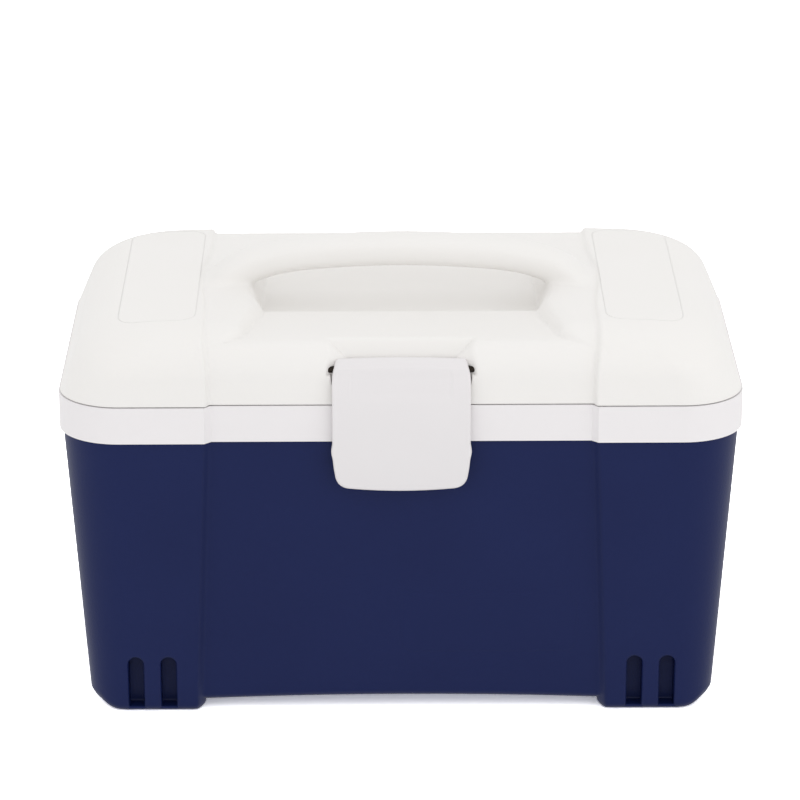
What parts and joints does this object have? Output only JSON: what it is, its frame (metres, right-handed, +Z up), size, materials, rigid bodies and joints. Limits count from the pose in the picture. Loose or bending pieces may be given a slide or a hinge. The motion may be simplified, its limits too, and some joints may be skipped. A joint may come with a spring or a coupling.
{
  "type": "vaccine carrier",
  "caption": "Small insulated hard box with a hinged lid, moulded carrying handle, front latch and coolant packs that keep vaccines cold.",
  "frame": {"origin": "on the ground under the middle of the carrier's bounding box", "axes": "+Z up, -Y towards the latch side, +X to the right when facing the latch, along the carrier's length"},
  "size_m": [0.36, 0.2184, 0.2395],
  "materials": {
    "navy_plastic": "satin",
    "white_band_plastic": "satin",
    "white_lid_plastic": "satin",
    "white_latch_plastic": "satin",
    "white_hinge_plastic": "satin",
    "insulating_foam": "matte",
    "gasket_rubber": "matte",
    "sponge": "matte",
    "steel": "satin",
    "pack_plastic": "satin",
    "cap_plastic": "satin"
  },
  "bodies": {
    "body": {"outer_shell": "navy_plastic", "inner_liner": "white_band_plastic", "body_foam": "insulating_foam", "hinge_body_leaf_left": "white_hinge_plastic", "hinge_body_leaf_right": "white_hinge_plastic", "hinge_body_screws": "steel", "hinge_pin_left": "steel", "hinge_pin_right": "steel", "ice_pack_front_left": "pack_plastic", "ice_pack_front_right": "pack_plastic", "ice_pack_back_left": "pack_plastic", "ice_pack_back_right": "pack_plastic", "ice_pack_left": "pack_plastic", "ice_pack_right": "pack_plastic", "ice_pack_cap_front_left": "cap_plastic", "ice_pack_cap_front_right": "cap_plastic", "ice_pack_cap_back_left": "cap_plastic", "ice_pack_cap_back_right": "cap_plastic", "ice_pack_cap_left": "cap_plastic", "ice_pack_cap_right": "cap_plastic"},
    "lid": {"lid_shell": "white_lid_plastic", "lid_liner": "white_band_plastic", "lid_foam": "insulating_foam", "lid_gasket": "gasket_rubber", "vial_pad": "sponge", "hinge_lid_leaf_left": "white_hinge_plastic", "hinge_lid_leaf_right": "white_hinge_plastic", "hinge_lid_screws": "steel", "latch_pin": "steel"},
    "latch": {"latch": "white_latch_plastic"}
  },
  "joints": [
    {"name": "lid_hinge", "type": "hinge", "parent": "body", "child": "lid", "pos_m": [0, 0.106, 0.1776], "axis": [-1, 0, 0], "range_deg": [0, 105]},
    {"name": "latch_hinge", "type": "hinge", "parent": "lid", "child": "latch", "pos_m": [0, -0.0975, 0.1955], "axis": [-1, 0, 0], "range_deg": [0, 95]}
  ]
}
